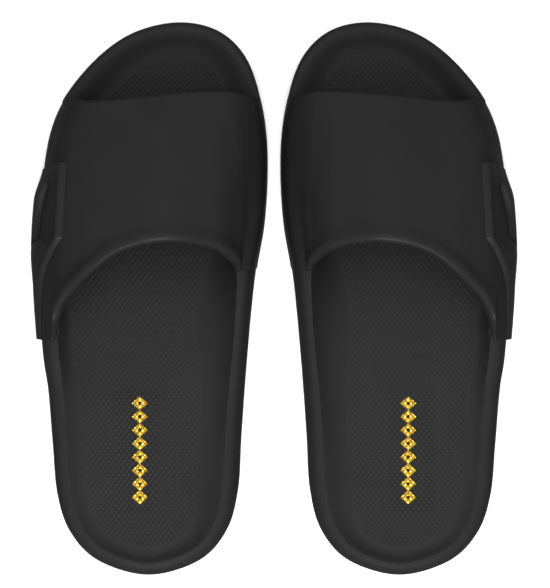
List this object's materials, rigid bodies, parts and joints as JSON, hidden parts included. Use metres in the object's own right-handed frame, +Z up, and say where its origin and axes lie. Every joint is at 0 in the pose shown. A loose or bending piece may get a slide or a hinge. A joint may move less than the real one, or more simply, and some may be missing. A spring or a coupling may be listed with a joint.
{
  "type": "pair of foam slides",
  "caption": "Pair of black moulded foam slides: open toe and heel, cupped textured footbed, wide padded strap with a ribbed side wing.",
  "frame": {"origin": "on the floor, midway between the two slides and midway between toe tip and heel", "axes": "+Y from the heels to the toes, +X towards the right slide, +Z up from the floor"},
  "size_m": [0.2492, 0.2849, 0.0741],
  "materials": {
    "black_rubber": "matte",
    "black_foam": "satin moulded foam",
    "textured_foam": "fine raised grain",
    "gold_foil": "foil, slightly mottled"
  },
  "bodies": {
    "left_forefoot": {"left_outsole_forefoot": "black_rubber", "left_midsole_forefoot": "black_foam", "left_footbed_forefoot": "textured_foam", "left_strap": "black_foam", "left_side_wing": "black_foam"},
    "left_heel": {"left_outsole_heel": "black_rubber", "left_midsole_heel": "black_foam", "left_footbed_heel": "textured_foam", "left_heel_emblem": "gold_foil"},
    "right_forefoot": {"right_outsole_forefoot": "black_rubber", "right_midsole_forefoot": "black_foam", "right_footbed_forefoot": "textured_foam", "right_strap": "black_foam", "right_side_wing": "black_foam"},
    "right_heel": {"right_outsole_heel": "black_rubber", "right_midsole_heel": "black_foam", "right_footbed_heel": "textured_foam", "right_heel_emblem": "gold_foil"}
  },
  "joints": [
    {"name": "left_sole_flex", "type": "hinge", "parent": "left_forefoot", "child": "left_heel", "pos_m": [-0.066, -0.044, 0.0395], "axis": [-1, 0, 0], "range_deg": [0, 25], "stiffness_Nm_per_rad": 2},
    {"name": "right_sole_flex", "type": "hinge", "parent": "right_forefoot", "child": "right_heel", "pos_m": [0.066, -0.044, 0.0395], "axis": [-1, 0, 0], "range_deg": [0, 25], "stiffness_Nm_per_rad": 2},
    {"name": "right_lift", "type": "slide", "parent": "left_forefoot", "child": "right_forefoot", "axis": [0, 0, 1], "range_m": [0, 0.12]}
  ]
}
